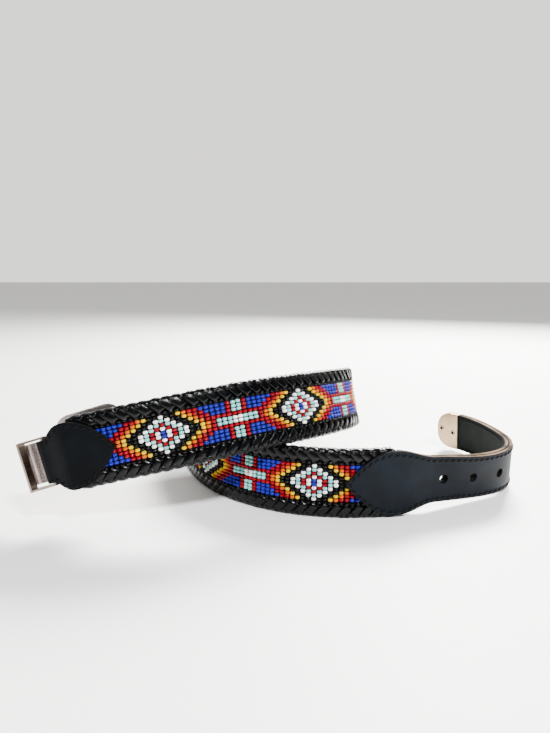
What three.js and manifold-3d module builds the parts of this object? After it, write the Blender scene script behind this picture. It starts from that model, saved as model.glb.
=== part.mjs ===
import * as THREE from "three";
import { mergeVertices } from "three/addons/utils/BufferGeometryUtils.js";
import Module from "manifold-3d";

// Driving dimensions, in millimetres and degrees
const beltLength = 826;
const bodyWidth = 40.2;
const billetWidth = 28.6;
const chapeWidth = 24.6;
const strapThickness = 1.6;
const panelWidth = 26.6;
const panelThickness = 1.5;
const laceThickness = 1.1;
const lacePitch = 6.24;
const laceGroove = 0.5;
const leatherThickness = 2.2;
const leatherMargin = 1.1;
const liningThickness = 2.3;
const gap = 0.3;

// Buckle end: the chape folds at the belt's start and ends in a point on the body
const chapeLength = 44;
const chapePoint = 25;
const chapeTaperStart = 6.2;
const chapeTaperEnd = 17;
const chapeTail = 30;
const bodyInset = 3;

// Billet end: the point on the body, the taper and the holes, measured from that point
const billetLength = 224;
const billetPoint = 27;
const billetTaper = 25;
const holeCount = 3;
const firstHole = 61.3;
const holePitch = 22;
const holeDiameter = 6;

// Metal
const capLength = 19;
const capWall = 0.5;
const capCorner = 11;
const rivetDiameter = 2;
const rivetHead = 3.6;
const rivetSpacing = 10.5;
const bailWidth = 28.6;
const bailReach = 10.3;
const bailStrip = 1.2;
const bailDepth = 7;
const barDiameter = 2.6;
const plateLength = 41;
const plateHeight = 44;
const plateThickness = 1.6;
const plateCorner = 10;
const plateStart = 20.5;
const plateTurn = 5;
const pinDiameter = 2.2;
const pinSetBack = 2.6;
const knuckleWidth = 24;
const knuckleWall = 1;
const hookLength = 4.5;
const hookDiameter = 3.2;
const hookInset = 5;

// Small offsets
const pointHalf = 0.6;
const pointFullness = 0.85;
const taperDelay = 3;
const panelUnderChape = 6;
const panelUnderBillet = 8;
const endStep = 0.6;
const laceShoulder = 0.8;
const rivetSetBack = 7.2;
const rivetDome = 0.8;
const railMargin = 0.6;
const earMargin = 0.7;
const earFoot = 3;
const bond = 0.2;

// The belt's lie: rows of a smooth curve, in shares of one scale, from the fold to the tip.
// right, back: place on the surface; rise: the lower edge's height in hundredths of the body's width;
// lean: degrees by which the upper edge falls back towards the inside of the coil.
const lie = [
  { right: -16.5, back: -2.1, rise: 42, lean: 6 },
  { right: -14.5, back: -2.2, rise: 54, lean: 5 },
  { right: -12.0, back: -2.1, rise: 66, lean: 5 },
  { right: -8.1, back: -2.0, rise: 82, lean: 8 },
  { right: -2.9, back: -0.5, rise: 100, lean: 16 },
  { right: 2.0, back: 2.1, rise: 107, lean: 20 },
  { right: 5.8, back: 6.3, rise: 100, lean: 17 },
  { right: 7.3, back: 10.5, rise: 87, lean: 9 },
  { right: 6.6, back: 14.9, rise: 68, lean: 4 },
  { right: 3.6, back: 18.6, rise: 46, lean: 2 },
  { right: -1.0, back: 20.3, rise: 24, lean: 2 },
  { right: -5.5, back: 19.8, rise: 8, lean: 3 },
  { right: -8.3, back: 16.6, rise: 0, lean: 4 },
  { right: -8.1, back: 12.1, rise: 0, lean: 5 },
  { right: -6.8, back: 8.4, rise: 0, lean: 5 },
  { right: -5.5, back: 5.8, rise: 0, lean: 5 },
  { right: -3.9, back: 3.8, rise: 0, lean: 5 },
  { right: -2.0, back: 2.1, rise: 0, lean: 5 },
  { right: 0.4, back: 0.6, rise: 0, lean: 5 },
  { right: 3.1, back: -0.2, rise: 0, lean: 5 },
  { right: 6.1, back: -0.5, rise: 0, lean: 5 },
  { right: 9.5, back: 0.0, rise: 0, lean: 5 },
  { right: 12.3, back: 1.1, rise: -2, lean: 0 },
  { right: 14.6, back: 1.9, rise: -5, lean: -8 },
  { right: 16.8, back: 2.8, rise: -7, lean: -10 },
  { right: 18.7, back: 3.9, rise: -7, lean: -5 },
  { right: 19.9, back: 6.1, rise: -7, lean: 0 },
  { right: 20.1, back: 8.8, rise: -7, lean: 2 },
  { right: 19.9, back: 11.5, rise: -7, lean: 3 },
  { right: 19.4, back: 14.0, rise: -7, lean: 3 },
  { right: 18.3, back: 15.8, rise: -7, lean: 3 },
  { right: 17.2, back: 17.0, rise: -7, lean: 3 },
];

const black = new THREE.MeshStandardMaterial({ color: 0x1c1f22, roughness: 0.45, metalness: 0 });
const lace = new THREE.MeshStandardMaterial({ color: 0x101112, roughness: 0.3, metalness: 0 });
const beads = new THREE.MeshStandardMaterial({ color: 0xa8b8c0, roughness: 0.25, metalness: 0 });
const rawLeather = new THREE.MeshStandardMaterial({ color: 0x3a2c22, roughness: 0.7, metalness: 0 });
const silver = new THREE.MeshStandardMaterial({ color: 0xc9c2ae, roughness: 0.3, metalness: 1 });
const darkSteel = new THREE.MeshStandardMaterial({ color: 0x8c857c, roughness: 0.3, metalness: 1 });

const wasm = await Module();
wasm.setup();

// Uniform cubic curve through the rows' influence, with its ends on the first and last row
function pointOnRows(rows, t) {
  const last = rows.length - 1;
  const row = (i) => {
    if (i < 0) return rows[0].map((v, k) => 2 * v - rows[1][k]);
    if (i > last) return rows[last].map((v, k) => 2 * v - rows[last - 1][k]);
    return rows[i];
  };
  const cell = Math.min(Math.floor(t), last - 1);
  const u = t - cell;
  const weights = [(1 - u) ** 3, 3 * u ** 3 - 6 * u * u + 4, -3 * u ** 3 + 3 * u * u + 3 * u + 1, u ** 3];
  const near = [row(cell - 1), row(cell), row(cell + 1), row(cell + 2)];
  return near[0].map((_, k) => near.reduce((sum, r, i) => sum + (r[k] * weights[i]) / 6, 0));
}

function sampleCourse(scale) {
  const rows = lie.map((r) => [r.right, r.back, r.rise, r.lean]);
  const count = 30 * (rows.length - 1);
  const samples = [];
  for (let i = 0; i <= count; i++) {
    const [right, back, rise, lean] = pointOnRows(rows, (i / count) * (rows.length - 1));
    const tilt = THREE.MathUtils.degToRad(lean);
    const height = (rise / 100) * bodyWidth + (bodyWidth / 2) * Math.cos(tilt);
    samples.push({ place: new THREE.Vector3(right * scale, back * scale, height), tilt, along: 0 });
  }
  for (let i = 1; i <= count; i++) {
    samples[i].along = samples[i - 1].along + samples[i].place.distanceTo(samples[i - 1].place);
  }
  return samples;
}

// The plan is scaled until the curve is as long as the belt
let planScale = beltLength / 100;
for (let turn = 0; turn < 8; turn++) planScale *= beltLength / sampleCourse(planScale).at(-1).along;
const course = sampleCourse(planScale);

function slopeAt(i) {
  const before = course[Math.max(i - 1, 0)];
  const after = course[Math.min(i + 1, course.length - 1)];
  return after.place.clone().sub(before.place).normalize();
}

// Frame at a length along the belt: place on the centre line, tangent, upward width direction, outward normal
function frameAt(along) {
  const total = course.at(-1).along;
  const inside = Math.min(Math.max(along, 0), total);
  let i = 1;
  while (i < course.length - 1 && course[i].along < inside) i++;
  const a = course[i - 1];
  const b = course[i];
  const mix = (inside - a.along) / (b.along - a.along);
  const tangent = slopeAt(i - 1).lerp(slopeAt(i), mix).normalize();
  const outward = new THREE.Vector3().crossVectors(tangent, new THREE.Vector3(0, 0, 1)).normalize();
  const upright = new THREE.Vector3().crossVectors(outward, tangent);
  const tilt = THREE.MathUtils.lerp(a.tilt, b.tilt, mix);
  const width = upright.multiplyScalar(Math.cos(tilt)).addScaledVector(outward, -Math.sin(tilt));
  const normal = new THREE.Vector3().crossVectors(tangent, width);
  const place = a.place.clone().lerp(b.place, mix).addScaledVector(tangent, along - inside);
  return { place, tangent, width, normal };
}

function onBelt(along, across, out) {
  const f = frameAt(along);
  return f.place.addScaledVector(f.width, across).addScaledVector(f.normal, out);
}

// A closed body through rings of equal size, each a list of points
function bodyThroughRings(rings) {
  const size = rings[0].length;
  const positions = rings.flat().flatMap((p) => [p.x, p.y, p.z]);
  const index = [];
  for (let r = 0; r < rings.length - 1; r++) {
    for (let k = 0; k < size; k++) {
      const a = r * size + k;
      const b = r * size + ((k + 1) % size);
      const across = rings[r][k].distanceTo(rings[r + 1][(k + 1) % size]);
      const back = rings[r][(k + 1) % size].distanceTo(rings[r + 1][k]);
      if (across < back) index.push(a, b, b + size, a, b + size, a + size);
      else index.push(a, b, a + size, b, b + size, a + size);
    }
  }
  const capTriangles = THREE.ShapeUtils.triangulateShape(flatten(rings[0]), []);
  const lastStart = (rings.length - 1) * size;
  for (const [a, b, c] of capTriangles) {
    index.push(a, c, b);
    index.push(lastStart + a, lastStart + b, lastStart + c);
  }
  const geometry = new THREE.BufferGeometry();
  geometry.setAttribute("position", new THREE.Float32BufferAttribute(positions, 3));
  geometry.setIndex(index);
  return signedVolume(geometry) < 0 ? turnedOver(geometry) : geometry;
}

// A ring's points in its own plane
function flatten(ring) {
  const origin = ring[0];
  const xAxis = ring.reduce((far, p) => (p.distanceTo(origin) > far.distanceTo(origin) ? p : far), ring[1]);
  const u = xAxis.clone().sub(origin).normalize();
  const normal = new THREE.Vector3();
  for (let k = 1; k < ring.length - 1; k++) {
    normal.add(ring[k].clone().sub(origin).cross(ring[k + 1].clone().sub(origin)));
  }
  const v = normal.normalize().cross(u);
  return ring.map((p) => new THREE.Vector2(p.clone().sub(origin).dot(u), p.clone().sub(origin).dot(v)));
}

function signedVolume(geometry) {
  const p = geometry.attributes.position;
  const corner = (k) => new THREE.Vector3().fromBufferAttribute(p, geometry.index.getX(k));
  let sum = 0;
  for (let k = 0; k < geometry.index.count; k += 3) sum += corner(k).dot(corner(k + 1).cross(corner(k + 2)));
  return sum;
}

function turnedOver(geometry) {
  const order = Array.from(geometry.index.array);
  for (let k = 0; k < order.length; k += 3) [order[k], order[k + 1]] = [order[k + 1], order[k]];
  geometry.setIndex(order);
  return geometry;
}

function toManifold(geometry) {
  const bare = geometry.clone();
  bare.deleteAttribute("normal");
  bare.deleteAttribute("uv");
  const merged = mergeVertices(bare, 1e-4);
  return new wasm.Manifold(new wasm.Mesh({
    numProp: 3,
    vertProperties: new Float32Array(merged.attributes.position.array),
    triVerts: new Uint32Array(merged.index.array),
  }));
}

function toGeometry(solid) {
  const mesh = solid.getMesh();
  const geometry = new THREE.BufferGeometry();
  geometry.setAttribute("position", new THREE.Float32BufferAttribute(mesh.vertProperties, 3));
  geometry.setIndex(Array.from(mesh.triVerts));
  return geometry;
}

// Lengths along the belt from one end to the other, no further apart than a step
function stations(from, to, step) {
  const count = Math.max(1, Math.round((to - from) / step));
  return Array.from({ length: count + 1 }, (_, i) => from + ((to - from) * i) / count);
}

// A flat strip on the belt: half width and the two faces' distances from the centre line
function strip(lengths, halfWidth, inner, outer) {
  return bodyThroughRings(lengths.map((s) => {
    const h = halfWidth(s);
    return [onBelt(s, -h, inner), onBelt(s, h, inner), onBelt(s, h, outer), onBelt(s, -h, outer)];
  }));
}

function ease(value, from, to) {
  return THREE.MathUtils.smoothstep(value, from, to);
}

const endHalf = bodyWidth / 2 - leatherMargin;
const billetStart = beltLength - billetLength;
const taperStart = billetStart + billetPoint + taperDelay;
const taperEnd = taperStart + billetTaper;
const frontFace = strapThickness / 2;
const coverFace = frontFace + gap + panelThickness;
const laceCover = (bodyWidth - panelWidth) / 2;
const bodyStart = chapeTaperEnd + bodyInset;
const bodyEnd = taperStart;

// Half width of a leather end that closes in a pointed arch
function pointedHalf(distance, reach, full) {
  const share = THREE.MathUtils.clamp(distance / reach, 0, 1);
  return pointHalf + (full - pointHalf) * Math.sin((share * Math.PI) / 2) ** pointFullness;
}

function bodyStrap() {
  const half = (s) => bodyWidth / 2 - laceThickness - gap - (s < bodyStart + 1 ? endStep : 0);
  return strip(stations(bodyStart, bodyEnd - gap, 7), half, -frontFace, frontFace);
}

// The beadwork lies on the strap between the two leather ends' points
function beadedPanel() {
  const from = chapeLength - chapePoint + panelUnderChape;
  const to = billetStart + panelUnderBillet;
  const half = (s) => panelWidth / 2 - (s < from + 1 ? endStep : 0);
  return strip(stations(from, to, 6), half, frontFace + gap, coverFace);
}

// Edge lacing: a channel round the strap's edge, ridged once for each stitch
function lacing(side) {
  const edge = bodyWidth / 2;
  const root = edge - laceCover + gap;
  const wall = edge - laceThickness;
  const lengths = stations(bodyStart, bodyEnd - gap, lacePitch / 2);
  const back = -frontFace - gap;
  return bodyThroughRings(lengths.map((s, i) => {
    const swell = i % 2 ? 0 : laceGroove;
    const front = coverFace + gap - swell;
    const outline = [
      [root, frontFace + gap],
      [wall, frontFace + gap],
      [wall, back],
      [root, back],
      [root, back - laceThickness + swell],
      [edge, back],
      [edge - laceShoulder, front],
      [root, front],
    ];
    return outline.map(([across, out]) => onBelt(s, side * across, out));
  }));
}

// Buckle chape: a tail behind, a round fold about the bail's bar and a pointed front on the body
const foldInner = barDiameter / 2 + gap;
const foldCentre = foldInner + leatherThickness;
const chapeFront = coverFace + 2 * gap + laceThickness;
const chapeBack = foldInner;

function buckleChape() {
  const half = (s) => {
    const share = THREE.MathUtils.clamp((s - chapeTaperStart) / (chapeTaperEnd - chapeTaperStart), 0, 1);
    const taper = chapeWidth / 2 + (endHalf - chapeWidth / 2) * Math.sin(share * Math.PI / 2);
    return s > chapeLength - chapePoint ? pointedHalf(chapeLength - s, chapePoint, endHalf) : taper;
  };
  const rings = [];
  const addRing = (s, h, inner, outer) => {
    rings.push([onBelt(s, -h, inner), onBelt(s, h, inner), onBelt(s, h, outer), onBelt(s, -h, outer)]);
  };
  const tailHalf = (s) => Math.min(half(s), bodyWidth / 2 - laceCover - gap);
  for (const s of stations(foldCentre + 1, chapeTail, 4).reverse()) {
    addRing(s, tailHalf(s), -chapeBack, -chapeBack - leatherThickness);
  }
  for (let k = 0; k <= 8; k++) {
    const turn = (k / 8) * Math.PI;
    const ring = [];
    for (const [h, radius] of [[-1, 0], [1, 0], [1, leatherThickness], [-1, leatherThickness]]) {
      const out = -(foldInner + radius) * Math.cos(turn);
      const along = foldCentre - (foldInner + radius) * Math.sin(turn);
      ring.push(onBelt(along, (h * chapeWidth) / 2, out));
    }
    rings.push(ring);
  }
  const widening = stations(foldCentre + 1, chapeLength - chapePoint, 3.2);
  for (const s of [...widening, ...pointStations(chapeLength, -chapePoint)]) {
    const lift = ease(s, foldCentre, bodyStart - 2);
    const inner = foldInner + (chapeFront - foldInner) * lift;
    addRing(s, half(s), inner, inner + leatherThickness);
  }
  return bodyThroughRings(rings);
}

// Lengths that crowd towards a point at the end of a reach
function pointStations(point, reach) {
  return [0.85, 0.7, 0.55, 0.4, 0.27, 0.16, 0.07, 0.015].map((share) => point + reach * share);
}

// Outline of both billet layers: taper from the body's width, then the cap's round end
function billetHalf(s) {
  return endHalf + (billetWidth / 2 - endHalf) * ease(s, taperStart, taperEnd);
}

const capFrom = beltLength - capLength;
const capInside = beltLength - capWall - 1.5 * gap;
const layersInner = -frontFace;
const layersJoint = layersInner + liningThickness;
const billetInner = layersJoint + gap;
const capHalf = billetWidth / 2 - capWall - 1.5 * gap;

// Both billet layers share these sections up to the cap
const layerStep = 3.3;
const layerStations = stations(taperStart, beltLength - capLength - 1, layerStep);

// Rounded end of the tip, inside or outside the cap
function tipHalf(s, end, half, corner) {
  const left = end - s;
  if (left >= corner) return half;
  return half - corner + Math.sqrt(Math.max(corner ** 2 - (corner - left) ** 2, 0));
}

function tipStations(end, corner) {
  const turns = [15, 32, 50, 68, 86].map((a) => THREE.MathUtils.degToRad(a));
  return [...stations(capFrom, end - corner, 4), ...turns.map((a) => end - corner + corner * Math.sin(a))];
}

function billet() {
  const lift = (s) => (coverFace + 2 * gap - billetInner) * (1 - ease(s, taperStart + 2, taperEnd));
  const inCorner = capCorner - capWall - 1.5 * gap;
  const lengths = [
    ...pointStations(billetStart, billetPoint).reverse(),
    billetStart + billetPoint,
    ...layerStations,
    ...tipStations(capInside, inCorner),
  ];
  const half = (s) => {
    if (s < billetStart + billetPoint) return pointedHalf(s - billetStart, billetPoint, endHalf);
    return s >= capFrom ? tipHalf(s, capInside, capHalf, inCorner) : billetHalf(s);
  };
  const rings = lengths.map((s) => {
    const inner = billetInner + lift(s);
    const h = half(s);
    const points = [[-h, inner], [h, inner], [h, inner + leatherThickness], [-h, inner + leatherThickness]];
    return points.map(([across, out]) => onBelt(s, across, out));
  });
  const punches = Array.from({ length: holeCount }, (_, i) => billetStart + firstHole + i * holePitch);
  return cutRound(bodyThroughRings(rings), punches, holeDiameter, 14);
}

function billetLining() {
  const inCorner = capCorner - capWall - 1.5 * gap;
  const lengths = [bodyEnd + gap, ...layerStations.slice(1), ...tipStations(capInside, inCorner)];
  const half = (s) => (s >= capFrom ? tipHalf(s, capInside, capHalf, inCorner) : billetHalf(s));
  const body = strip(lengths, half, layersInner, layersJoint);
  const punches = Array.from({ length: holeCount }, (_, i) => billetStart + firstHole + i * holePitch);
  return cutRound(body, punches, holeDiameter, 14);
}

// A round pin or punch along the belt's normal
function roundOnBelt(along, across, diameter, from, to, sides) {
  const f = frameAt(along);
  const geometry = new THREE.CylinderGeometry(diameter / 2, diameter / 2, to - from, sides);
  const spin = new THREE.Quaternion().setFromUnitVectors(new THREE.Vector3(0, 1, 0), f.normal);
  geometry.applyQuaternion(spin);
  const place = onBelt(along, across, (from + to) / 2);
  return geometry.translate(place.x, place.y, place.z);
}

function cutRound(body, lengths, diameter, sides, across = 0) {
  const reach = 3 * (strapThickness + leatherThickness);
  let solid = toManifold(body);
  for (const s of lengths) {
    solid = solid.subtract(toManifold(roundOnBelt(s, across, diameter, -reach, reach, sides)));
  }
  return toGeometry(solid);
}

// Tip cap: a rounded shell over the end of both billet layers
const rivetPlaces = [
  { along: beltLength - capCorner + rivetSetBack, across: 1 },
  { along: beltLength - capCorner + rivetSetBack - rivetSpacing, across: -1 },
];
const capBack = layersInner - gap - capWall;
const capFront = billetInner + leatherThickness + gap + capWall;

function tipCap() {
  const half = (s) => tipHalf(s, beltLength, billetWidth / 2, capCorner);
  const shell = strip(tipStations(beltLength, capCorner), half, capBack, capFront);
  const inCorner = capCorner - capWall;
  const hollowHalf = (s) => tipHalf(s, beltLength - capWall, billetWidth / 2 - capWall, inCorner);
  const hollowEnds = [capBack + capWall, capFront - capWall];
  const hollowLengths = [capFrom - 1, ...tipStations(beltLength - capWall, inCorner)];
  const hollow = strip(hollowLengths, hollowHalf, ...hollowEnds);
  let solid = toManifold(shell).subtract(toManifold(hollow));
  for (const hole of rivetHoles()) solid = solid.subtract(hole);
  return toGeometry(solid);
}

function rivetHoles() {
  const reach = 2 * (capFront - capBack);
  const bore = rivetDiameter + 2 * gap;
  return rivetPlaces.map((r) => toManifold(roundOnBelt(r.along, r.across, bore, -reach, reach, 10)));
}

function withRivetHoles(geometry) {
  let solid = toManifold(geometry);
  for (const hole of rivetHoles()) solid = solid.subtract(hole);
  return toGeometry(solid);
}

// A rivet through the cap, with a low dome on either face
function tipRivet({ along, across }) {
  const middle = (capFront + capBack) / 2;
  const grip = (capFront - capBack) / 2 + gap;
  const head = rivetHead / 2;
  const shank = rivetDiameter / 2;
  const profile = [
    [0, -grip - rivetDome], [head * 0.7, -grip - 0.75 * rivetDome], [head, -grip], [shank, -grip],
    [shank, grip], [head, grip], [head * 0.7, grip + 0.75 * rivetDome], [0, grip + rivetDome],
  ];
  const geometry = new THREE.LatheGeometry(profile.map(([r, h]) => new THREE.Vector2(r, h)), 12);
  const f = frameAt(along);
  geometry.applyQuaternion(new THREE.Quaternion().setFromUnitVectors(new THREE.Vector3(0, 1, 0), f.normal));
  const place = onBelt(along, across, middle);
  return toGeometry(toManifold(geometry.translate(place.x, place.y, place.z)));
}

// The buckle's pieces are shaped in the fold's own frame: x along the belt, y across it, z outwards
const fold = frameAt(0);
const foldTurn = new THREE.Matrix4().makeBasis(fold.tangent, fold.width, fold.normal);
const foldPlace = foldTurn.setPosition(fold.place);
const pinAlong = -bailReach - pinSetBack;
const knuckleRadius = pinDiameter / 2 + gap + knuckleWall;
const pinOut = -bailDepth / 2 - knuckleRadius - gap;

function box(x0, x1, y0, y1, z0, z1) {
  const block = new THREE.BoxGeometry(x1 - x0, y1 - y0, z1 - z0);
  return toManifold(block.translate((x0 + x1) / 2, (y0 + y1) / 2, (z0 + z1) / 2));
}

function roundAcross(diameter, length, x, z, sides) {
  return toManifold(new THREE.CylinderGeometry(diameter / 2, diameter / 2, length, sides).translate(x, 0, z));
}

function placedAtFold(solid) {
  return toGeometry(solid).applyMatrix4(foldPlace);
}

// Bail: a frame of flat strip, a round bar in the leather fold and a round pin behind for the plate
function buckleBail() {
  const outer = bailWidth / 2;
  const inner = outer - bailStrip;
  const depth = bailDepth / 2;
  const rail = new THREE.Shape();
  const railEnd = barDiameter / 2 + railMargin;
  rail.moveTo(-bailReach, -depth);
  rail.lineTo(foldCentre, -railEnd);
  rail.absarc(foldCentre, 0, railEnd, -Math.PI / 2, Math.PI / 2, false);
  rail.lineTo(-bailReach, depth);
  rail.closePath();
  const ear = new THREE.Shape();
  const earRadius = pinDiameter / 2 + earMargin;
  ear.moveTo(-bailReach + earFoot, -depth + earFoot / 6);
  ear.lineTo(-bailReach, 0);
  ear.absarc(pinAlong, pinOut, earRadius, Math.PI * 0.9, Math.PI * 1.75, false);
  ear.closePath();
  let solid = box(-bailReach, -bailReach + bailStrip, -outer, outer, -depth, depth);
  for (const side of [outer, -inner]) {
    for (const shape of [rail, ear]) {
      const extent = { depth: bailStrip, bevelEnabled: false, curveSegments: 6 };
      const plate = new THREE.ExtrudeGeometry(shape, extent);
      solid = solid.add(toManifold(plate.rotateX(Math.PI / 2).translate(0, side, 0)));
    }
  }
  solid = solid.add(roundAcross(barDiameter, 2 * outer - bailStrip, foldCentre, 0, 12));
  solid = solid.add(roundAcross(pinDiameter, 2 * outer - bailStrip, pinAlong, pinOut, 12));
  return placedAtFold(solid);
}

// Buckle plate: a rounded plate on a hinge arm, with a sleeve on the bail's pin and a plain hook on its back
function bucklePlate() {
  const front = -knuckleRadius;
  const back = front + plateThickness;
  const face = new THREE.Shape();
  const end = plateStart + plateLength;
  const half = plateHeight / 2;
  face.moveTo(plateStart + plateCorner, -half);
  face.absarc(end - plateCorner, -half + plateCorner, plateCorner, -Math.PI / 2, 0, false);
  face.absarc(end - plateCorner, half - plateCorner, plateCorner, 0, Math.PI / 2, false);
  face.absarc(plateStart + plateCorner, half - plateCorner, plateCorner, Math.PI / 2, Math.PI, false);
  face.absarc(plateStart + plateCorner, -half + plateCorner, plateCorner, Math.PI, 1.5 * Math.PI, false);
  const extent = { depth: plateThickness, bevelEnabled: false, curveSegments: 7 };
  const slab = new THREE.ExtrudeGeometry(face, extent);
  const side = knuckleWidth / 2;
  let solid = toManifold(slab.translate(0, 0, front));
  solid = solid.add(box(0, plateStart + plateCorner, -side, side, front, back - bond));
  solid = solid.add(roundAcross(2 * knuckleRadius, knuckleWidth, 0, 0, 16));
  solid = solid.subtract(roundAcross(pinDiameter + 2 * gap, 2 * knuckleWidth, 0, 0, 16));
  const hook = new THREE.CylinderGeometry(hookDiameter / 2, hookDiameter / 2, hookLength, 12);
  hook.rotateX(Math.PI / 2).translate(end - hookInset, 0, back - bond + hookLength / 2);
  solid = solid.add(toManifold(hook));
  const turned = toGeometry(solid).rotateY(THREE.MathUtils.degToRad(plateTurn)).translate(pinAlong, 0, pinOut);
  return turned.applyMatrix4(foldPlace);
}

const belt = new THREE.Group();
const pieces = [
  ["body_strap", bodyStrap(), black],
  ["beaded_panel", beadedPanel(), beads],
  ["upper_lacing", lacing(1), lace],
  ["lower_lacing", lacing(-1), lace],
  ["buckle_chape", buckleChape(), black],
  ["billet", withRivetHoles(billet()), black],
  ["billet_lining", withRivetHoles(billetLining()), rawLeather],
  ["tip_cap", tipCap(), silver],
  ["tip_rivet_1", tipRivet(rivetPlaces[0]), silver],
  ["tip_rivet_2", tipRivet(rivetPlaces[1]), silver],
  ["buckle_bail", buckleBail(), darkSteel],
  ["buckle_plate", bucklePlate(), silver],
];

// The origin is on the surface under the middle of the coil
const bounds = new THREE.Box3();
for (const [, geometry] of pieces) {
  geometry.computeBoundingBox();
  bounds.union(geometry.boundingBox);
}
const middle = bounds.getCenter(new THREE.Vector3());
for (const [name, geometry, material] of pieces) {
  geometry.translate(-middle.x, -middle.y, -bounds.min.z);
  const mesh = new THREE.Mesh(geometry, material);
  mesh.name = name;
  belt.add(mesh);
}

export default belt;
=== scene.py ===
import math
import bpy
import numpy as np
from mathutils import Matrix, Vector


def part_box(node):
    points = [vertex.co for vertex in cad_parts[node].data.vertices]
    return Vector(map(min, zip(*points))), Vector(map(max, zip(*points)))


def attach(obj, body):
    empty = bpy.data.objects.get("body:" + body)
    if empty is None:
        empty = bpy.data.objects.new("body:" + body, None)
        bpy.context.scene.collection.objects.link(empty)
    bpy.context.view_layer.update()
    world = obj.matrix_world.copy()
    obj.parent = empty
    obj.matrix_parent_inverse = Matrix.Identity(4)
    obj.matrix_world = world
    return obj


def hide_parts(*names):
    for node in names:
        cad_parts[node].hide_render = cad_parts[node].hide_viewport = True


# Looks of the coiled beaded belt. Lengths are in millimetres until a mesh is made.
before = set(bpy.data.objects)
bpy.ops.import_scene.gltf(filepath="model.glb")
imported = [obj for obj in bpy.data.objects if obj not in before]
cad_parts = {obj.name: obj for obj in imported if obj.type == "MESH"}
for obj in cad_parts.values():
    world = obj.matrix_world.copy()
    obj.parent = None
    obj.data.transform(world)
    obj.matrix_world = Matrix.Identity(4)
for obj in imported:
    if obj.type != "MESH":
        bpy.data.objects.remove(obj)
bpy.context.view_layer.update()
scale = 0.001
rng = np.random.default_rng(7)

# Sizes shared with the solids
belt = {
    "length": 826, "width": 40.2, "billet": 28.6, "chape": 24.6, "strap": 1.6, "panelWidth": 26.6,
    "panel": 1.5, "lace": 1.1, "leather": 2.2, "lining": 2.3, "margin": 1.1, "gap": 0.3,
}
buckleEnd = {"length": 44, "point": 25, "taperFrom": 6.2, "taperTo": 17, "tail": 30, "inset": 3, "bar": 2.6}
billetEnd = {
    "length": 224, "point": 27, "afterPoint": 3, "taper": 25,
    "holes": 3, "firstHole": 61.3, "holePitch": 22, "hole": 6, "backHole": 4.2,
    "cap": 19, "capWall": 0.5, "capCorner": 11, "rivetBack": 3.8, "rivetPitch": 10.5,
}

# The belt's lie: right and back in shares of one scale, rise in hundredths of its width, lean in degrees
lie = [
    (-16.5, -2.1, 42, 6), (-14.5, -2.2, 54, 5), (-12.0, -2.1, 66, 5), (-8.1, -2.0, 82, 8),
    (-2.9, -0.5, 100, 16), (2.0, 2.1, 107, 20), (5.8, 6.3, 100, 17), (7.3, 10.5, 87, 9),
    (6.6, 14.9, 68, 4), (3.6, 18.6, 46, 2), (-1.0, 20.3, 24, 2), (-5.5, 19.8, 8, 3),
    (-8.3, 16.6, 0, 4), (-8.1, 12.1, 0, 5), (-6.8, 8.4, 0, 5), (-5.5, 5.8, 0, 5),
    (-3.9, 3.8, 0, 5), (-2.0, 2.1, 0, 5), (0.4, 0.6, 0, 5), (3.1, -0.2, 0, 5),
    (6.1, -0.5, 0, 5), (9.5, 0.0, 0, 5), (12.3, 1.1, -2, 0), (14.6, 1.9, -5, -8),
    (16.8, 2.8, -7, -10), (18.7, 3.9, -7, -5), (19.9, 6.1, -7, 0), (20.1, 8.8, -7, 2),
    (19.9, 11.5, -7, 3), (19.4, 14.0, -7, 3), (18.3, 15.8, -7, 3), (17.2, 17.0, -7, 3),
]


# Smooth curve that the rows steer, with a number of steps between two rows
def smoothRows(rows, perCell=30):
    p = np.array(rows, float)
    p = np.vstack([2 * p[0] - p[1], p, 2 * p[-1] - p[-2]])
    u = (np.arange(perCell) / perCell)[:, None]
    weights = [(1 - u) ** 3, 3 * u**3 - 6 * u * u + 4, -3 * u**3 + 3 * u * u + 3 * u + 1, u**3]
    cells = [sum(w * p[i + k] for k, w in enumerate(weights)) / 6 for i in range(len(p) - 3)]
    return np.vstack(cells + [(p[-3] + 4 * p[-2] + p[-1]) / 6])


def layCourse(plan):
    s = smoothRows(lie)
    lean = np.radians(s[:, 3])
    height = s[:, 2] / 100 * belt["width"] + belt["width"] / 2 * np.cos(lean)
    place = np.stack([s[:, 0] * plan, s[:, 1] * plan, height], 1)
    along = np.concatenate([[0], np.cumsum(np.linalg.norm(np.diff(place, axis=0), axis=1))])
    return place, along, lean


def unit(v):
    return v / np.linalg.norm(v, axis=-1, keepdims=True)


# The plan's scale is found by turns, so that the course is as long as the belt
plan = belt["length"] / 100
for turn in range(8):
    plan *= belt["length"] / layCourse(plan)[1][-1]
coursePlace, courseAlong, courseLean = layCourse(plan)
slopes = unit(np.gradient(coursePlace, axis=0))


# Frames at lengths along the belt: place, tangent, width direction and outward normal
def framesAt(along):
    s = np.atleast_1d(np.asarray(along, float))
    mixed = lambda values: np.stack([np.interp(s, courseAlong, values[:, k]) for k in range(3)], 1)
    tangent = unit(mixed(slopes))
    outward = unit(np.cross(tangent, [0, 0, 1.0]))
    lean = np.interp(s, courseAlong, courseLean)[:, None]
    width = np.cross(outward, tangent) * np.cos(lean) - outward * np.sin(lean)
    beyond = (s - np.clip(s, 0, courseAlong[-1]))[:, None]
    return mixed(coursePlace) + tangent * beyond, tangent, width, np.cross(tangent, width)


# Bases whose columns are the belt's tangent, width and normal
def basesAt(along):
    return np.stack(framesAt(along)[1:], 2)


def onBelt(along, across, out):
    s, v, n = np.broadcast_arrays(np.asarray(along, float), across, out)
    place, tangent, width, normal = framesAt(s.ravel())
    points = place + width * v.ravel()[:, None] + normal * n.ravel()[:, None]
    return points.reshape(s.shape + (3,))


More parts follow.
